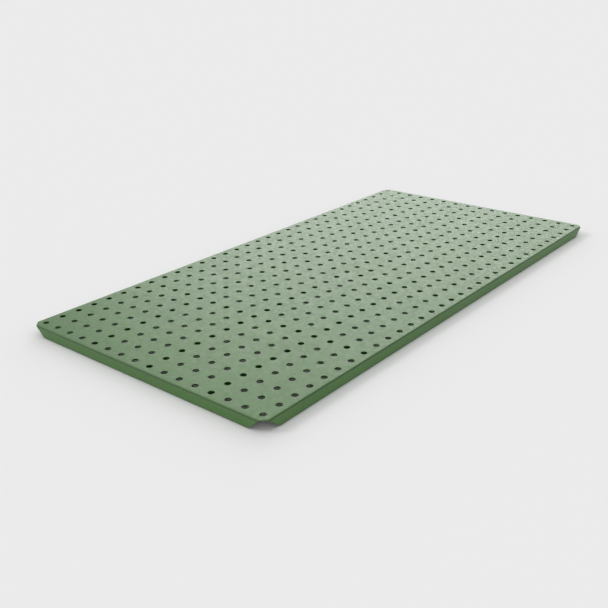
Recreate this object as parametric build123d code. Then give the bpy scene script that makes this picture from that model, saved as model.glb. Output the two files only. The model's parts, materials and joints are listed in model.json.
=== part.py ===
from build123d import *
import os
from math import floor

# Perforated sheet-steel welding table top: a folded deck with a square hole grid, stiffened underneath.
#
# Millimetres. +X runs along the length, +Y across the width, +Z up. The origin is the centre of the
# footprint, on the plane that the return flanges rest on.

# ---- driving dimensions -----------------------------------------------------------------------
LENGTH = 1600.0            # overall, along X
WIDTH = 800.0              # overall, along Y
HEIGHT = 30.0              # overall, resting plane to work surface

DECK_SHEET = 3.0           # thickness of the folded deck sheet
BEND_INSIDE = 1.0          # inside radius of every fold in the deck
FLANGE_WIDTH = 15.0        # return flange, from the outer face inwards
CORNER_CUT = 18.0          # leg of the 45 degree cut across each corner of the work surface

HOLE_DIAMETER = 16.0       # clamp holes of the 16 mm system
HOLE_PITCH = 50.0          # square grid
EDGE_DISTANCE = 25.0       # outer face to the first row of hole centres

CHANNEL_SHEET = 2.0        # thickness of the stiffening channels
CHANNEL_BEND_INSIDE = 1.0  # inside radius of the channel's two folds
FLANGE_CLEARANCE = 2.0     # air between a channel's web and the return flange under it
SKIRT_CLEARANCE = 4.0      # air between a channel's end and the skirt
FIT_UP_GAP = 0.5           # air between a cross rib's end and the long channel it is welded to

WELD_LEG = 3.0             # leg of every fillet weld
WELD_TO_HOLE = 2.0         # bare sheet left between a fillet weld and the nearest hole
STITCH_LENGTH = 25.0       # length of one stitch weld
STITCH_STEP = 62.0         # distance from one stitch to the next, which is on the channel's other side
CORNER_WELD_SHARE = 0.8    # part of a channel's depth that the upright corner welds cover
STIFFENER_SHARES = [-0.25, 0.0, 0.25]  # wanted places of the stiffeners, in parts of the length or width

# ---- derived sizes ----------------------------------------------------------------------------
BEND_OUTSIDE = BEND_INSIDE + DECK_SHEET
CHANNEL_BEND_OUTSIDE = CHANNEL_BEND_INSIDE + CHANNEL_SHEET
UNDERSIDE = HEIGHT - DECK_SHEET                    # height of the deck's lower face
CHANNEL_DEPTH = UNDERSIDE - DECK_SHEET - FLANGE_CLEARANCE
CHANNEL_WIDTH = HOLE_PITCH - HOLE_DIAMETER - 2 * (WELD_LEG + WELD_TO_HOLE)
CHANNEL_FOOT = UNDERSIDE - CHANNEL_DEPTH           # height of a channel's lowest face
SKIRT_INNER_X = LENGTH / 2 - DECK_SHEET
SKIRT_INNER_Y = WIDTH / 2 - DECK_SHEET
SKIRT_END_TOP = CORNER_CUT - BEND_OUTSIDE          # skirt's end at the top fold, from the corner
SKIRT_END_FOOT = CORNER_CUT + HEIGHT               # skirt's end at the bottom, from the corner
CUT_MARGIN = 1.0                                   # how far a cutting wedge stands out past the corner

OUT = "parts"


def row_centres(span):
    """Hole centres along one direction, spread evenly about the middle."""
    count = floor((span - 2 * EDGE_DISTANCE) / HOLE_PITCH + 1e-6) + 1
    first = -(count - 1) * HOLE_PITCH / 2
    return [first + k * HOLE_PITCH for k in range(count)]


def nearest_land(centres, wanted):
    """Middle of the plain strip between two hole rows that lies nearest to the wanted place."""
    lands = [(a + b) / 2 for a, b in zip(centres, centres[1:])]
    return min(lands, key=lambda land: abs(land - wanted))


HOLES_X = row_centres(LENGTH)
HOLES_Y = row_centres(WIDTH)
CHANNEL_Y = [nearest_land(HOLES_Y, share * WIDTH) for share in STIFFENER_SHARES]
RIB_X = [nearest_land(HOLES_X, share * LENGTH) for share in STIFFENER_SHARES]

CHANNEL_NAMES = ["right", "centre", "left"]
RIB_NAMES = ["front", "middle", "rear"]


# ---- deck -------------------------------------------------------------------------------------
def deck_plate():
    """The flat, perforated middle of the deck, between the four folds."""
    outline = Rectangle(LENGTH - 2 * BEND_OUTSIDE, WIDTH - 2 * BEND_OUTSIDE)
    holes = [Pos(x, y) * Circle(HOLE_DIAMETER / 2) for x in HOLES_X for y in HOLES_Y]
    return Pos(0, 0, UNDERSIDE) * extrude(outline - holes, DECK_SHEET)


def folded_edge(run, reach):
    """One folded side: top fold, skirt, bottom fold and return flange, lying along X at y = -reach.

    run is the length of that side from corner to corner, before its ends are cut back.
    """
    top_z = HEIGHT - BEND_OUTSIDE
    bend_y = -reach + BEND_OUTSIDE
    inner_y = -reach + DECK_SHEET
    tip_y = -reach + FLANGE_WIDTH
    outline = [
        Line((bend_y, HEIGHT), (bend_y, UNDERSIDE)),
        RadiusArc((bend_y, UNDERSIDE), (inner_y, top_z), -BEND_INSIDE),
        Line((inner_y, top_z), (inner_y, BEND_OUTSIDE)),
        RadiusArc((inner_y, BEND_OUTSIDE), (bend_y, DECK_SHEET), -BEND_INSIDE),
        Line((bend_y, DECK_SHEET), (tip_y, DECK_SHEET)),
        Line((tip_y, DECK_SHEET), (tip_y, 0)),
        Line((tip_y, 0), (bend_y, 0)),
        RadiusArc((bend_y, 0), (-reach, BEND_OUTSIDE), BEND_OUTSIDE),
        Line((-reach, BEND_OUTSIDE), (-reach, top_z)),
        RadiusArc((-reach, top_z), (bend_y, HEIGHT), BEND_OUTSIDE),
    ]
    profile = Plane.YZ * make_face(Curve() + outline)
    edge = Pos(-run / 2, 0, 0) * extrude(profile, run)
    for end in (-1, 1):
        edge = edge - skirt_end_cut(run, reach, end) - flange_mitre(run, reach, end)
    return edge


def skirt_end_cut(run, reach, end):
    """The wedge that cuts one end of a skirt back at an angle, so that it narrows towards the foot."""
    corner = end * run / 2
    outline = Polyline(
        (corner + end * CUT_MARGIN, HEIGHT),
        (corner - end * SKIRT_END_TOP, HEIGHT),
        (corner - end * SKIRT_END_FOOT, 0),
        (corner + end * CUT_MARGIN, 0),
        close=True,
    )
    wedge = extrude(Plane.XZ * make_face(outline), FLANGE_WIDTH)
    return Pos(0, -reach + FLANGE_WIDTH, 0) * wedge


def flange_mitre(run, reach, end):
    """The 45 degree mitre at one end of a return flange, which carries on from the skirt's end."""
    corner = end * run / 2
    flat = FLANGE_WIDTH - BEND_OUTSIDE
    start = corner - end * SKIRT_END_FOOT
    outline = Polyline(
        (start, -reach + BEND_OUTSIDE),
        (start - end * flat, -reach + FLANGE_WIDTH),
        (corner, -reach + FLANGE_WIDTH),
        (corner, -reach + BEND_OUTSIDE),
        close=True,
    )
    return extrude(make_face(outline), DECK_SHEET)


def perforated_deck():
    """The whole folded sheet, one piece of steel."""
    quarter = Rot(0, 0, 90)
    long_side = folded_edge(LENGTH, WIDTH / 2)
    short_side = quarter * folded_edge(WIDTH, LENGTH / 2)
    half_turn = Rot(0, 0, 180)
    deck = deck_plate() + [long_side, half_turn * long_side, short_side, half_turn * short_side]
    plan = chamfer(Rectangle(LENGTH, WIDTH).vertices(), CORNER_CUT)
    return deck & extrude(plan, HEIGHT)


# ---- stiffeners -------------------------------------------------------------------------------
def channel(length):
    """A U channel with its open side up, along X and centred on the origin, legs against the deck."""
    half = CHANNEL_WIDTH / 2
    outer = Pos(0, CHANNEL_FOOT + CHANNEL_DEPTH / 2) * Rectangle(CHANNEL_WIDTH, CHANNEL_DEPTH)
    foot = [v for v in outer.vertices() if v.Y < CHANNEL_FOOT + CHANNEL_DEPTH / 2]
    outer = fillet(foot, CHANNEL_BEND_OUTSIDE)
    hollow_depth = CHANNEL_DEPTH - CHANNEL_SHEET
    middle = CHANNEL_FOOT + CHANNEL_SHEET + hollow_depth / 2
    inner = Pos(0, middle) * Rectangle(2 * (half - CHANNEL_SHEET), hollow_depth)
    foot = [v for v in inner.vertices() if v.Y < middle]
    inner = fillet(foot, CHANNEL_BEND_INSIDE)
    return Pos(-length / 2, 0, 0) * extrude(Plane.YZ * (outer - inner), length)


def long_channel(y):
    """A stiffening channel that runs the whole length between the short skirts."""
    return Pos(0, y, 0) * channel(2 * (SKIRT_INNER_X - SKIRT_CLEARANCE))


def rib_bays():
    """The stretches across the width that cross ribs fill: (lowest y, highest y, welded low, welded high)."""
    half = CHANNEL_WIDTH / 2
    reach = SKIRT_INNER_Y - SKIRT_CLEARANCE
    lows = [-reach] + [y + half + FIT_UP_GAP for y in CHANNEL_Y]
    highs = [y - half - FIT_UP_GAP for y in CHANNEL_Y] + [reach]
    last = len(lows) - 1
    return [(low, high, k > 0, k < last) for k, (low, high) in enumerate(zip(lows, highs))]


def cross_rib(x, low, high):
    """A short channel across one bay, square to the long channels."""
    return Pos(x, (low + high) / 2, 0) * Rot(0, 0, 90) * channel(high - low)


# ---- welds ------------------------------------------------------------------------------------
def fillet_bead(length, leg_a=WELD_LEG, leg_b=WELD_LEG):
    """A fillet weld along X whose two legs lie on +Y and -Z of the edge at the origin."""
    section = Polyline((0, 0), (leg_a, 0), (0, -leg_b), close=True)
    return Pos(-length / 2, 0, 0) * extrude(Plane.YZ * make_face(section), length)


def stitch_places(low, high):
    """Places of the stitches along one stretch, each with the side of the channel that it is on."""
    count = max(1, round((high - low) / STITCH_STEP) - 1)
    step = (high - low) / (count + 1)
    return [(low + (k + 1) * step, 1 if k % 2 == 0 else -1) for k in range(count)]


def stitch_on_side(side):
    """A stitch weld under the deck, against one side of a channel that lies along X."""
    bead = fillet_bead(STITCH_LENGTH)
    if side < 0:
        bead = Rot(0, 0, 180) * bead
    return Pos(0, side * CHANNEL_WIDTH / 2, UNDERSIDE) * bead


def channel_stitches(y):
    """All the stitch welds of one long channel, clear of the cross ribs."""
    clear = CHANNEL_WIDTH / 2 + WELD_LEG
    reach = SKIRT_INNER_X - SKIRT_CLEARANCE
    lows = [-reach] + [x + clear for x in RIB_X]
    highs = [x - clear for x in RIB_X] + [reach]
    places = [p for low, high in zip(lows, highs) for p in stitch_places(low, high)]
    return Compound([Pos(x, y, 0) * stitch_on_side(side) for x, side in places])


def rib_stitches(x):
    """All the stitch welds of one line of cross ribs."""
    beads = []
    for low, high, _, _ in rib_bays():
        for y, side in stitch_places(low, high):
            beads.append(Pos(x, y, 0) * Rot(0, 0, 90) * stitch_on_side(side))
    return Compound(beads)


def upright_bead(x_side, y_side):
    """An upright fillet weld in the corner between a rib's side and a long channel's side."""
    run = CORNER_WELD_SHARE * CHANNEL_DEPTH
    section = Polyline((0, 0), (x_side * WELD_LEG, 0), (0, y_side * (WELD_LEG + FIT_UP_GAP)), close=True)
    bead = extrude(make_face(section), run)
    return Pos(0, 0, UNDERSIDE - WELD_LEG - run) * bead


def corner_welds(x):
    """The upright welds that join one line of cross ribs to the long channels."""
    beads = []
    for low, high, welded_low, welded_high in rib_bays():
        ends = [(low - FIT_UP_GAP, 1)] * welded_low + [(high + FIT_UP_GAP, -1)] * welded_high
        for y, y_side in ends:
            for x_side in (-1, 1):
                beads.append(Pos(x + x_side * CHANNEL_WIDTH / 2, y, 0) * upright_bead(x_side, y_side))
    return Compound(beads)


# ---- the whole assembly -----------------------------------------------------------------------
def assembly():
    """Every node of the part, by name."""
    nodes = {"perforated_deck": perforated_deck()}
    for name, y in zip(CHANNEL_NAMES, CHANNEL_Y):
        nodes[f"long_channel_{name}"] = long_channel(y)
        nodes[f"channel_stitch_welds_{name}"] = channel_stitches(y)
    for name, x in zip(RIB_NAMES, RIB_X):
        for k, (low, high, _, _) in enumerate(rib_bays(), start=1):
            nodes[f"cross_rib_{name}_{k}"] = cross_rib(x, low, high)
        nodes[f"rib_stitch_welds_{name}"] = rib_stitches(x)
        nodes[f"rib_corner_welds_{name}"] = corner_welds(x)
    return nodes


def main():
    os.makedirs(OUT, exist_ok=True)
    for name, shape in assembly().items():
        export_step(shape, f"{OUT}/{name}.step")
        print(name, "solids", len(shape.solids()), "volume", round(shape.volume))


main()
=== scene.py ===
# %% [markdown]
# # The perforated top of a welding table
# The real object is one sheet of steel, punched with a square grid of round holes, folded down on
# all four sides and painted green. Channels welded underneath keep it flat.
# The engineering model already has every piece in its true place. This lesson gives those pieces
# the roundness, the weld ripples and the paint that make them look like metal. All lengths are in
# metres, with +Z up, and the top lies centred on the origin.

# %% Load the engineering model
import json
import math
import random

import bmesh
import bpy
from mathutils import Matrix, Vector


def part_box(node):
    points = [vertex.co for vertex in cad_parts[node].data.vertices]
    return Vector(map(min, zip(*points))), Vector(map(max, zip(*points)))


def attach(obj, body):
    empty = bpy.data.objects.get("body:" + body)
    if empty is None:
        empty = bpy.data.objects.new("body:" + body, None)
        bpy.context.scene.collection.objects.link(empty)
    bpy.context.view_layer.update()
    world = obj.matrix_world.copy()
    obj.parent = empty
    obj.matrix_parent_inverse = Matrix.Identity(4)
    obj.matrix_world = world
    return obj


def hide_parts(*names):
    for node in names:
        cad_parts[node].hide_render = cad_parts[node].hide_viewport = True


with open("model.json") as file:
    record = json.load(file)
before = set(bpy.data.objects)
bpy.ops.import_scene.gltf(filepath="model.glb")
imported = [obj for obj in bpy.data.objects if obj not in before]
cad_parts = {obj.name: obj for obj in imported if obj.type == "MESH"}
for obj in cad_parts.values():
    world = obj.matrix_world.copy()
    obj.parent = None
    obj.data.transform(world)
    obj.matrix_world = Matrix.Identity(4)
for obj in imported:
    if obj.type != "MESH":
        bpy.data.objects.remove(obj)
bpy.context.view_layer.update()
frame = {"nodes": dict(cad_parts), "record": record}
MM = 0.001
HAIR = 0.001 * MM           # places closer than this count as the same
random.seed(11)             # the weld beads vary, but in the same way every time
print("nodes in the model:", len(frame["nodes"]))

# %% [markdown]
# ## Read the sizes instead of typing them
# A fixture plate is only useful if its holes are exactly where they should be, so the grid is
# worked out from the model's own record: the four outermost holes give the span of the grid, and
# the four holes about the centre give the pitch. The sheet's thickness is the height of the deck
# above the channels that touch its underside.

# %% Grid, sheet and folds
mounts = {mount["name"]: mount for mount in frame["record"]["mounts"]}
span = mounts["corner_holes"]["dims"]
centre_cell = mounts["centre_cell_holes"]["dims"]
pitch = centre_cell["spacing_x_mm"] * MM
hole_radius = centre_cell["hole_r_mm"] * MM


def hole_rows(reach):
    """Hole centres along one direction, evenly spread about the middle."""
    count = round(reach * MM / pitch) + 1
    return [(k - (count - 1) / 2) * pitch for k in range(count)]


holes_x = hole_rows(span["spacing_x_mm"])
holes_y = hole_rows(span["spacing_y_mm"])

deck_low, deck_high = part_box("perforated_deck")
top = deck_high.z
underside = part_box("long_channel_centre")[1].z
sheet = top - underside

bend_radius = 4 * MM       # outside radius of every fold
flange_width = 15 * MM     # return flange, from the outer face inwards
corner_cut = 18 * MM       # leg of the cut across each corner
print("holes:", len(holes_x), "x", len(holes_y), " sheet:", round(sheet / MM, 2), "mm")

# %% [markdown]
# ## A helper that skins a bent sheet
# Everything here is sheet metal or weld metal, and both can be made the same way: a section is
# repeated at stations along a line, and neighbouring sections are joined with four-sided faces.
# Quads in even rows shade smoothly and bevel cleanly, which the long thin triangles of a boolean
# cut don't, so no boolean modifier is used anywhere in this lesson.

# %% Rows of quads
def skin_rows(bm, rows, around=False, along=False):
    """Joins rows of points with quads. around closes each row, along joins last row to first."""
    grid = [[bm.verts.new(point) for point in row] for row in rows]
    for upper, lower in zip(grid, grid[1:] + grid[:1] if along else grid[1:]):
        pairs = list(zip(upper, lower))
        for (a, b), (d, c) in zip(pairs, pairs[1:] + pairs[:1] if around else pairs[1:]):
            bm.faces.new((a, b, c, d))
    return grid


def finish_mesh(bm, name, weld=0.01 * MM):
    """Welds the seams of a mesh, turns its faces outwards and makes it a smooth-shaded object."""
    bmesh.ops.remove_doubles(bm, verts=bm.verts, dist=weld)
    bmesh.ops.recalc_face_normals(bm, faces=bm.faces)
    mesh = bpy.data.meshes.new(name)
    bm.to_mesh(mesh)
    bm.free()
    mesh.shade_smooth()
    piece = bpy.data.objects.new(name, mesh)
    bpy.context.scene.collection.objects.link(piece)
    return piece


def soften_edges(piece, width):
    """Rounds the sharp edges of cut sheet, then lets the large flat faces lead the shading."""
    bevel = piece.modifiers.new("cut_edges", "BEVEL")
    bevel.width = width
    bevel.segments = 2
    bevel.limit_method = "ANGLE"
    bevel.angle_limit = math.radians(50)    # below the sharp edges, above the steps of a bend
    bevel.use_clamp_overlap = False
    normals = piece.modifiers.new("flat_faces_lead", "WEIGHTED_NORMAL")
    normals.weight = 60
    normals.keep_sharp = False


# %% [markdown]
# ## One cell of the grid
# A punched hole could be a boolean cut, but 512 of them would leave a tangle of slivers. Each
# hole gets its own tile instead. Rings of points run from the tile's border to the hole, over a
# small rounded rim, down the wall and back out to the border on the underside. The points on the
# border lie in the directions of the points on the circle, so every tile meets its neighbours
# point to point.

# %% Rings of one tile
segments = 24               # points round each hole
rim = 0.35 * MM             # rounding of the hole's upper edge
burr = 0.3 * MM             # small break of the lower edge


def ray(k):
    """Direction of the k-th point round a hole."""
    angle = 2 * math.pi * k / segments
    return math.cos(angle), math.sin(angle)


def border_point(k, west, east, south, north):
    """Where the k-th ray meets the tile's border, given how far the tile reaches on each side."""
    c, s = ray(k)
    stretch = 1 / max(abs(c), abs(s))
    u, v = c * stretch, s * stretch
    return Vector((u * (east if u > 0 else west), v * (north if v > 0 else south)))


def round_ring(centre, radius, z):
    """A circle of points about a hole's centre."""
    spokes = [ray(k) for k in range(segments)]
    return [Vector((centre.x + radius * c, centre.y + radius * s, z)) for c, s in spokes]


print("points round a hole:", segments, " hole across:", round(2 * hole_radius / MM, 2), "mm")

# %% [markdown]
# ## Tiles at the edge and at the corners
# The flat part of the deck stops where the folds begin, so the outermost tiles are a little
# shorter on that side. At the four corners the sheet is cut off at 45 degrees. There, three
# border points slide onto the line of the cut, which keeps the rings even.

# %% Flat part of the deck
flat_x = deck_high.x - bend_radius
flat_y = deck_high.y - bend_radius
cut_on_flat = corner_cut - 2 * bend_radius   # what is left of the cut's leg inside the folds


def slide_to_cut(point):
    """Moves a point on the uncut corner of the flat onto the 45 degree cut."""
    beyond_x = abs(point.x) > flat_x - HAIR
    beyond_y = abs(point.y) > flat_y - HAIR
    gap_x = gap_y = 0
    if beyond_x and beyond_y:
        gap_x = gap_y = cut_on_flat / 2
    elif beyond_y:
        gap_x = cut_on_flat
    elif beyond_x:
        gap_y = cut_on_flat
    return Vector((math.copysign(flat_x - gap_x, point.x), math.copysign(flat_y - gap_y, point.y)))


def tile_border(x, y):
    """The border of the tile about one hole, in plan."""
    half = pitch / 2
    west = min(half, x + flat_x)
    east = min(half, flat_x - x)
    south = min(half, y + flat_y)
    north = min(half, flat_y - y)
    points = [Vector((x, y)) + border_point(k, west, east, south, north) for k in range(segments)]
    if abs(x) < max(holes_x) - HAIR or abs(y) < max(holes_y) - HAIR:
        return points
    near_corner = 12 * MM       # reaches the corner point and one neighbour on either side of it
    corner = Vector((math.copysign(flat_x, x), math.copysign(flat_y, y)))
    return [slide_to_cut(p) if (p - corner).length < near_corner else p for p in points]


def add_tile(bm, x, y):
    """A square of sheet, top and underside, with its hole."""
    centre = Vector((x, y))
    border = tile_border(x, y)
    half_way = rim * (1 - math.sqrt(0.5))
    rings = [
        [p.to_3d() + Vector((0, 0, top)) for p in border],
        round_ring(centre, hole_radius + rim, top),
        round_ring(centre, hole_radius + half_way, top - half_way),
        round_ring(centre, hole_radius, top - rim),
        round_ring(centre, hole_radius, underside + burr),
        round_ring(centre, hole_radius + burr, underside),
        [p.to_3d() + Vector((0, 0, underside)) for p in border],
    ]
    skin_rows(bm, rings, around=True)
    return border


deck_mesh = bmesh.new()
border_points = [p for x in holes_x for y in holes_y for p in add_tile(deck_mesh, x, y)]
print("tile faces:", len(deck_mesh.faces))

# %% [markdown]
# ## The folded sides
# On a press brake the sheet is bent twice on each side: once down into a skirt, and once inwards
# into a narrow flange that stiffens the edge and gives the top something to rest on. The section
# is drawn as two lines, the outer and the inner face of the sheet, with a true arc at each bend.

# %% Section of a folded side
bend_steps = 6


def arc(radius, first, last, steps=bend_steps):
    """Offsets from a bend's centre, along an arc given in degrees."""
    angles = [math.radians(first + (last - first) * k / steps) for k in range(steps + 1)]
    return [(radius * math.cos(a), radius * math.sin(a)) for a in angles]


def side_face(radius, tip_height):
    """One face of the sheet: (distance in from the skirt, height) from deck to flange tip."""
    upper = [(bend_radius + a, top - bend_radius + b) for a, b in arc(radius, 90, 180)]
    lower = [(bend_radius + a, bend_radius + b) for a, b in arc(radius, 180, 270)]
    return upper + lower + [(flange_width, tip_height)]


outer_face = side_face(bend_radius, 0)
inner_face = side_face(bend_radius - sheet, sheet)
print("points on the section:", len(outer_face) + len(inner_face))

# %% [markdown]
# ## Where each side ends
# At a corner the two skirts must not collide when they are folded, so the flat blank is notched.
# That leaves the skirts cut back at a slant and the flanges mitred. Each line of the section
# therefore ends at its own distance from the corner. The notch is cut square through the sheet, so
# the outer and the inner face end together. The points along the first cells are spread out again
# between that end and the cell's border, so no face is squeezed to nothing.

# %% Ends of a folded side
foot_cut = corner_cut + top          # end of the skirt at its foot, from the corner
spread_zone = 1.5 * pitch            # stretch in which the points are spread out again


def end_distance(d, z):
    """How far from the corner a line of the section ends, from its place on the outer face."""
    if d > bend_radius - HAIR and z < HAIR:
        return foot_cut + d - bend_radius
    plan_cut = corner_cut - d
    slant = (foot_cut - corner_cut + bend_radius) / top
    skirt_cut = corner_cut - bend_radius + (top - z) * slant
    return max(plan_cut, skirt_cut)


def stations(along, run, end):
    """The points along one line of the section, which ends at that distance from the corner."""
    start = corner_cut - bend_radius
    places = []
    for place in along:
        from_corner = run / 2 - abs(place)
        if from_corner < spread_zone:
            from_corner = end + (from_corner - start) * (spread_zone - end) / (spread_zone - start)
        places.append(math.copysign(run / 2 - from_corner, place))
    return places


def add_side(bm, run, reach, along, turn):
    """A folded side at distance reach from the centre. turn puts (along, outwards) into the plan."""
    def row(d, z, end):
        return [Vector((*turn(s, reach - d), z)) for s in stations(along, run, end)]

    ends = [end_distance(d, z) for d, z in outer_face]
    outer = [row(d, z, end) for (d, z), end in zip(outer_face, ends)]
    inner = [row(d, z, end) for (d, z), end in zip(inner_face, ends)]
    skin_rows(bm, outer + inner[::-1])
    for side_end in (0, -1):
        skin_rows(bm, [[line[side_end] for line in outer], [line[side_end] for line in inner]])


print("a skirt's foot ends", round(foot_cut / MM, 1), "mm from the corner")

# %% Fold all four sides
def places_along(axis, limit):
    """Border points of the tiles on one edge of the flat, in order and each only once."""
    other = 1 - axis
    decimals = 7
    found = {round(p[axis], decimals) for p in border_points if abs(abs(p[other]) - limit) < HAIR}
    return sorted(found)


length, width = 2 * deck_high.x, 2 * deck_high.y
long_edge = places_along(0, flat_y)
short_edge = places_along(1, flat_x)
add_side(deck_mesh, length, width / 2, long_edge, lambda s, out: (s, -out))
add_side(deck_mesh, length, width / 2, long_edge, lambda s, out: (s, out))
add_side(deck_mesh, width, length / 2, short_edge, lambda s, out: (-out, s))
add_side(deck_mesh, width, length / 2, short_edge, lambda s, out: (out, s))
print("points along a long edge:", len(long_edge), " along a short edge:", len(short_edge))

# %% Close the corner cuts
for sx in (-1, 1):
    for sy in (-1, 1):
        cut = [(0, cut_on_flat), (cut_on_flat / 2, cut_on_flat / 2), (cut_on_flat, 0)]
        plan = [(sx * (flat_x - a), sy * (flat_y - b)) for a, b in cut]
        skin_rows(deck_mesh, [[Vector((x, y, z)) for x, y in plan] for z in (top, underside)])

deck = finish_mesh(deck_mesh, "folded_deck")
soften_edges(deck, 0.4 * MM)
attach(deck, "root")
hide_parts("perforated_deck")


def report_mesh(piece):
    """Prints a piece's face count and how many of its edges aren't shared by exactly two faces."""
    bm = bmesh.new()
    bm.from_mesh(piece.data)
    open_edges = sum(1 for edge in bm.edges if len(edge.link_faces) != 2)
    print(piece.name, "faces:", len(bm.faces), " open edges:", open_edges, " volume, cm3:",
          round(bm.calc_volume() * 1e6, 2))
    bm.free()


report_mesh(deck)

# %% [markdown]
# ## The stiffening channels
# Each stiffener is a strip folded twice into a U, with its open side against the deck. A plain box
# with a Bevel would look the same from outside, but the open ends would show that it is solid. The
# engineering model gives the box that each one fills, so one function makes all fifteen: it bends
# the section to the box and runs it from end to end. The same two-line section as before is used,
# closed this time along both lips.

# %% Fold a channel into a box
channel_sheet = 2 * MM
channel_bend = 3 * MM       # outside radius


def channel_face(half, foot, lip, radius):
    """One face of a U section: (across, height) from one lip round to the other."""
    centre_x = half - channel_bend
    centre_z = foot + channel_bend
    left = [(-centre_x + a, centre_z + b) for a, b in arc(radius, 180, 270)]
    right = [(centre_x + a, centre_z + b) for a, b in arc(radius, 270, 360)]
    return [(left[0][0], lip)] + left + right + [(right[-1][0], lip)]


def make_channel(node):
    """A rounded channel that fills the box of one stiffener."""
    low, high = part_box(node)
    lengthwise = high.x - low.x > high.y - low.y
    middle = (low + high) / 2
    half = (high.y - low.y if lengthwise else high.x - low.x) / 2
    outer = channel_face(half, low.z, high.z, channel_bend)
    inner = channel_face(half, low.z, high.z, channel_bend - channel_sheet)

    def row(across, height):
        if lengthwise:
            return [Vector((x, middle.y + across, height)) for x in (low.x, high.x)]
        return [Vector((middle.x + across, y, height)) for y in (low.y, high.y)]

    bm = bmesh.new()
    outer_rows = [row(a, h) for a, h in outer]
    inner_rows = [row(a, h) for a, h in inner]
    skin_rows(bm, outer_rows + inner_rows[::-1], along=True)
    for end in (0, -1):
        skin_rows(bm, [[line[end] for line in outer_rows], [line[end] for line in inner_rows]])
    piece = finish_mesh(bm, "folded_" + node)
    soften_edges(piece, 0.25 * MM)
    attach(piece, "root")
    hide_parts(node)
    return piece


stiffener_nodes = sorted(n for n in frame["nodes"] if n.startswith(("long_channel", "cross_rib")))
channels = [make_channel(node) for node in stiffener_nodes]
report_mesh(channels[0])
print("channels:", len(channels))

# %% [markdown]
# ## Reading the welds
# In the engineering model each weld bead is a plain three-sided prism. Its right-angled edge is
# the root of the weld, where the two plates meet, and the other two corners are the toes. So a
# bead's place, length and legs can all be read from the prism, and nothing has to be typed again.

# %% Find the root and toes of every bead
def loose_parts(node):
    """Corner points of each separate solid in a node's mesh, in order along X, then Y, then Z."""
    bm = bmesh.new()
    bm.from_mesh(frame["nodes"][node].data)
    bmesh.ops.remove_doubles(bm, verts=bm.verts, dist=HAIR)
    seen = set()
    parts = []
    for start in bm.verts:
        if start in seen:
            continue
        seen.add(start)
        queue = [start]
        part = []
        while queue:
            vertex = queue.pop()
            part.append(vertex.co.copy())
            for edge in vertex.link_edges:
                other = edge.other_vert(vertex)
                if other not in seen:
                    seen.add(other)
                    queue.append(other)
        parts.append(part)
    bm.free()
    decimals = 4               # enough to tell solids apart, too few for rounding noise to matter
    return sorted(parts, key=lambda part: [round(c, decimals) for c in sum(part, Vector())])


def read_prism(corners):
    """The start of a prism's root, the way along it, and its two legs."""
    square = 1e-9              # two legs whose dot product is smaller stand at a right angle
    spans = [max(p[i] for p in corners) - min(p[i] for p in corners) for i in range(3)]
    axis = spans.index(max(spans))
    lowest = min(p[axis] for p in corners)
    near_end = [p for p in corners if p[axis] < lowest + spans[axis] / 2]
    for root in near_end:
        legs = [p - root for p in near_end if p is not root]
        if abs(legs[0].dot(legs[1])) < square:
            break
    way = Vector((0, 0, 0))
    way[axis] = spans[axis]
    return root, way, legs[0], legs[1]


weld_nodes = sorted(n for n in frame["nodes"] if "welds" in n)
first_bead = read_prism(loose_parts(weld_nodes[0])[0])
print("a bead is", round(first_bead[1].length / MM, 1), "mm long, with legs of",
      [round(leg.length / MM, 1) for leg in first_bead[2:]], "mm")

# %% [markdown]
# ## The ripple of a weld
# A weld is laid as a row of overlapping puddles. Each leaves a shallow crescent that lags behind
# at the toes and leads in the middle. The bead is a quarter-round section swept along the root:
# it bulges a little, swells and dips once for each puddle, and shrinks to a rounded start and
# stop. No two beads are quite alike, so each draws its own size and its own start in the ripple.

# %% Sweep one bead
puddle = 1.9 * MM            # distance from one ripple to the next
lead = 1.1 * MM              # how far the middle of a ripple runs ahead of its toes
ripple = 0.16 * MM           # height of a ripple
toe_ripple = 0.35            # part of that height that is left at the toes
bulge = 0.45 * MM            # how far the bead stands out from a straight slope
end_zone = 3.2 * MM          # length of the rounded start and stop
end_size = 0.25              # size of the bead at its very end
bead_step = 0.45 * MM        # distance from one section to the next
face_points = 8              # quads across the face of a bead


def bead_section(root, leg_a, leg_b, s, length, size, phase):
    """Points of a bead's section at distance s from its start, root first."""
    to_end = min(s, length - s)
    taper = 1.0
    if to_end < end_zone:
        taper = end_size + (1 - end_size) * math.sqrt(1 - (1 - to_end / end_zone) ** 2)
    outward = (leg_a + leg_b).normalized()
    points = [root]
    for k in range(face_points + 1):
        t = k / face_points
        crown = 4 * t * (1 - t)
        wave = abs(math.sin(math.pi * (s - lead * crown) / puddle + phase))
        lift = (bulge * crown + ripple * wave * (toe_ripple + (1 - toe_ripple) * crown)) * size
        toe_line = root + (leg_a * (1 - t) + leg_b * t) * taper * min(size, 1.0)
        points.append(toe_line + outward * lift * taper)
    return points


def add_bead(bm, root, way, leg_a, leg_b):
    """One weld bead, closed at both ends. Its size wavers slowly about its own middle size."""
    length = way.length
    steps = round(length / bead_step)
    size = random.uniform(0.92, 1.06)
    phase = random.uniform(0, math.pi)
    waver = 0.03
    rows = []
    for k in range(steps + 1):
        s = length * k / steps
        here = size + waver * math.sin(2.1 * s / puddle + 5 * phase)
        rows.append(bead_section(root + way * (k / steps), leg_a, leg_b, s, length, here, phase))
    grid = skin_rows(bm, rows, around=True)
    bm.faces.new(grid[0])
    bm.faces.new(grid[-1])


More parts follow.
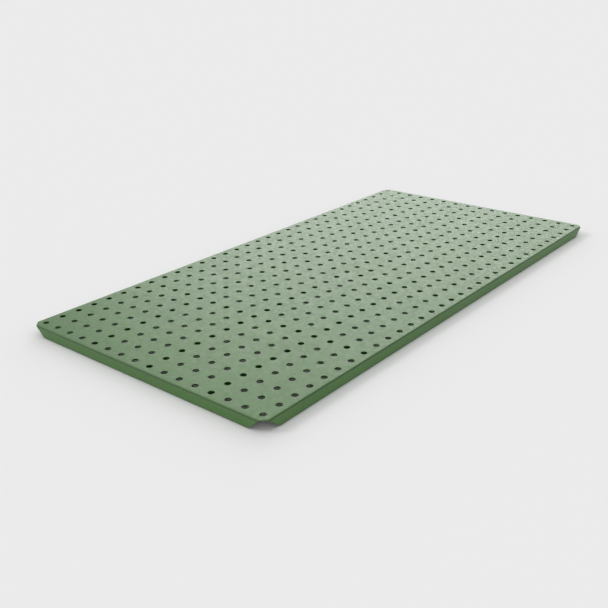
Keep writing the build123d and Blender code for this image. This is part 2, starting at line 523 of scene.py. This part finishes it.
# %% Lay the beads of every weld group
welds = []
bead_count = 0
for node in weld_nodes:
    bm = bmesh.new()
    for corners in loose_parts(node):
        add_bead(bm, *read_prism(corners))
        bead_count += 1
    piece = finish_mesh(bm, "rippled_" + node, weld=0.0001 * MM)
    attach(piece, "root")
    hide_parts(node)
    welds.append(piece)
report_mesh(welds[0])
print("weld groups:", len(welds), " beads:", bead_count)

# %% [markdown]
# ## Powder coat
# The paint is a thermoset powder, sprayed on dry and baked until it flows. It never flows quite
# flat: it keeps a fine orange peel a few millimetres across, and a finer grain on top of that.
# The colour also drifts a little from place to place. Both are made with noise textures in the
# object's own coordinates, so the pattern has its true size everywhere and needs no unwrapping.
# Large, soft noise shifts the colour and fine noise speckles it. Another noise makes the gloss
# uneven, and two more drive the bump.
# A thin line of painted shade runs along every fold. The colour is darkened there to stand in for
# the shade that falls on a bend. It makes the edge of the sheet look crisp, and it only needs the
# height of a point above the foot of the skirt.

# %% Build the paint
paint_green = (0.053, 0.150, 0.027)
drift_scale = 5             # noise scales, in features to a metre
patch_scale = 120
speckle_scale = 240
peel_scale = 240
grain_scale = 1100


def noise_texture(nodes, links, coords, scale, detail=2.0, rough=0.5):
    """A noise texture in object coordinates. scale is the number of features in a metre."""
    noise = nodes.new("ShaderNodeTexNoise")
    noise.inputs["Scale"].default_value = scale
    noise.inputs["Detail"].default_value = detail
    noise.inputs["Roughness"].default_value = rough
    links.new(coords.outputs["Object"], noise.inputs["Vector"])
    return noise


def remap(nodes, links, source, low, high, near=0.35, far=0.65):
    """Stretches the range from near to far, by default the middle of a noise, to low to high."""
    span_node = nodes.new("ShaderNodeMapRange")
    span_node.inputs["From Min"].default_value = near
    span_node.inputs["From Max"].default_value = far
    span_node.inputs["To Min"].default_value = low
    span_node.inputs["To Max"].default_value = high
    links.new(source, span_node.inputs["Value"])
    return span_node.outputs["Result"]


def math_node(nodes, links, operation, source, amount=0):
    """One step of arithmetic: source, the operation, and the amount where it needs one."""
    node = nodes.new("ShaderNodeMath")
    node.operation = operation
    node.inputs[1].default_value = amount
    links.new(source, node.inputs[0])
    return node.outputs["Value"]


def scaled_colour(nodes, links, colour, factor):
    """A colour made lighter or darker by a factor."""
    scale = nodes.new("ShaderNodeVectorMath")
    scale.operation = "SCALE"
    links.new(colour, scale.inputs[0])
    links.new(factor, scale.inputs["Scale"])
    return scale.outputs["Vector"]


def bump(nodes, links, height, distance, before=None):
    """Adds one layer of relief, of that depth in metres, over the layer before it."""
    node = nodes.new("ShaderNodeBump")
    node.inputs["Strength"].default_value = 1.0
    node.inputs["Distance"].default_value = distance
    links.new(height, node.inputs["Height"])
    if before:
        links.new(before, node.inputs["Normal"])
    return node.outputs["Normal"]


def painted_shade_on_folds(nodes, links, coords, colour, shade):
    """Paints shade into a colour: darkens it by a factor in a thin line round the upper and lower
    bend.
    """
    line_depth = 0.55 * bend_radius         # how far the line lies from the top and from the foot
    line_core = 0.2 * bend_radius           # half the width of its dark middle
    line_edge = 0.5 * bend_radius           # where it has faded out
    height = nodes.new("ShaderNodeSeparateXYZ")
    links.new(coords.outputs["Object"], height.inputs[0])
    from_middle = math_node(nodes, links, "SUBTRACT", height.outputs["Z"], top / 2)
    from_middle = math_node(nodes, links, "ABSOLUTE", from_middle)
    from_line = math_node(nodes, links, "SUBTRACT", from_middle, top / 2 - line_depth)
    from_line = math_node(nodes, links, "ABSOLUTE", from_line)
    factor = remap(nodes, links, from_line, shade, 1, near=line_core, far=line_edge)
    return scaled_colour(nodes, links, colour, factor)


def powder_coat(name, green, peel, gloss, fold_painted_shade=None):
    """Green powder coat: peel is the orange peel's depth, gloss its middle roughness."""
    material = bpy.data.materials.new(name)
    material.use_nodes = True
    nodes, links = material.node_tree.nodes, material.node_tree.links
    shader = nodes["Principled BSDF"]
    coords = nodes.new("ShaderNodeTexCoord")

    drift = noise_texture(nodes, links, coords, drift_scale, detail=3)
    base = nodes.new("ShaderNodeMix")
    base.data_type = "RGBA"
    colder, warmer = (0.93, 0.96, 0.96), (1.08, 1.04, 1.03)
    base.inputs["A"].default_value = (*[c * f for c, f in zip(green, colder)], 1)
    base.inputs["B"].default_value = (*[c * f for c, f in zip(green, warmer)], 1)
    links.new(remap(nodes, links, drift.outputs["Fac"], 0, 1), base.inputs["Factor"])
    speckle = noise_texture(nodes, links, coords, speckle_scale, detail=5, rough=0.7)
    factor = remap(nodes, links, speckle.outputs["Fac"], 0.80, 1.20)
    colour = scaled_colour(nodes, links, base.outputs["Result"], factor)
    # painted shade: the colour is darkened in a thin line along the folds
    if fold_painted_shade:
        colour = painted_shade_on_folds(nodes, links, coords, colour, fold_painted_shade)
    links.new(colour, shader.inputs["Base Color"])

    patches = noise_texture(nodes, links, coords, patch_scale, detail=4)
    links.new(remap(nodes, links, patches.outputs["Fac"], gloss - 0.06, gloss + 0.07),
              shader.inputs["Roughness"])

    orange_peel = noise_texture(nodes, links, coords, peel_scale, detail=2)
    grain = noise_texture(nodes, links, coords, grain_scale, detail=2)
    relief = bump(nodes, links, orange_peel.outputs["Fac"], peel)
    relief = bump(nodes, links, grain.outputs["Fac"], peel * 0.25, relief)
    links.new(relief, shader.inputs["Normal"])
    shader.inputs["IOR"].default_value = 1.52
    return material


# the deck's colour is darkened along its folds, a line of painted shade
deck_paint = powder_coat("deck_powder_coat", paint_green, 0.32 * MM, 0.42, fold_painted_shade=0.45)
stiffener_paint = powder_coat("stiffener_powder_coat", paint_green, 0.24 * MM, 0.45)
weld_paint = powder_coat("weld_powder_coat", paint_green, 0.05 * MM, 0.40)

deck.data.materials.append(deck_paint)
for piece in channels:
    piece.data.materials.append(stiffener_paint)
for piece in welds:
    piece.data.materials.append(weld_paint)
print("materials:", [m.name for m in (deck_paint, stiffener_paint, weld_paint)])

# %% [markdown]
# ## The studio
# The top lies on a plain pale floor under an even white sky, the simplest soft light there is: it
# comes from everywhere, so shadows are faint and the floor has no bright or dark patches. Two wide
# lights are added to it. Seen at a low angle, paint mirrors whatever stands behind it, so a low
# light at the back gives the surface its pale sheen. A higher one from the left picks out the short
# skirt. Both are distant lights, because a card close by would end in a visible edge on the floor.

# %% Floor
def plain_paint(name, grey):
    """A matt grey without any gloss."""
    paint = bpy.data.materials.new(name)
    paint.use_nodes = True
    shader = paint.node_tree.nodes["Principled BSDF"]
    shader.inputs["Base Color"].default_value = (grey, grey, grey, 1)
    shader.inputs["Roughness"].default_value = 1.0
    shader.inputs["Specular IOR Level"].default_value = 0.0
    return paint


floor_reach = 60            # metres, far enough for its edge to fall close to the horizon
floor_gap = 0.5 * MM        # so the floor and the foot of the top don't share one plane
floor_mesh = bmesh.new()
bmesh.ops.create_grid(floor_mesh, x_segments=1, y_segments=1, size=floor_reach)
floor = finish_mesh(floor_mesh, "floor")
floor.location.z = -floor_gap
floor.data.materials.append(plain_paint("pale_floor", 0.86))
print("floor reaches", floor_reach, "m each way")

# %% Sky and lights
world = bpy.data.worlds.new("studio")
world.use_nodes = True
sky = world.node_tree.nodes["Background"]
sky.inputs["Color"].default_value = (1, 1, 1, 1)
sky.inputs["Strength"].default_value = 0.80
bpy.context.scene.world = world


def far_light(name, direction, height, spread, strength):
    """A distant soft light. Its direction from +X, height and width in the sky are in degrees."""
    light = bpy.data.lights.new(name, "SUN")
    light.energy = strength
    light.angle = math.radians(spread)
    lamp = bpy.data.objects.new(name, light)
    bpy.context.scene.collection.objects.link(lamp)
    around, up = math.radians(direction), math.radians(height)
    way = Vector((math.cos(around) * math.cos(up), math.sin(around) * math.cos(up), math.sin(up)))
    lamp.rotation_euler = way.to_track_quat("Z", "Y").to_euler()
    return lamp


lamps = [
    far_light("back_light", direction=35, height=12, spread=40, strength=0.96),
    far_light("left_light", direction=130, height=36, spread=15, strength=0.54),
]
print("lamps:", [lamp.name for lamp in lamps])

# %% [markdown]
# ## The camera
# A long, low view across a corner makes the grid run away in two directions, which shows at once
# how large and how flat the top is. The lens is close to a normal one of 50 mm. A small sideways
# shift frames the top without turning the camera, as the sliding lens of a view camera does, and
# the camera leans to one side by just under a degree, as one held by hand would.

# %% Camera
camera_data = bpy.data.cameras.new("camera")
camera_data.lens = 48.73
camera_data.sensor_width = 36.0
camera_data.shift_x = -0.0214
camera = bpy.data.objects.new("camera", camera_data)
bpy.context.scene.collection.objects.link(camera)
camera.location = (-1.828, -1.380, 0.893)
view_line = Vector((0.7125, 0.5811, -0.3933))
level = view_line.to_track_quat("-Z", "Y").to_matrix()
roll = math.radians(-0.94)
camera.rotation_euler = (level @ level.Rotation(roll, 3, "Z")).to_euler()
bpy.context.scene.camera = camera
bpy.context.scene.view_settings.view_transform = "Standard"
print("camera at", [round(c, 3) for c in camera.location])
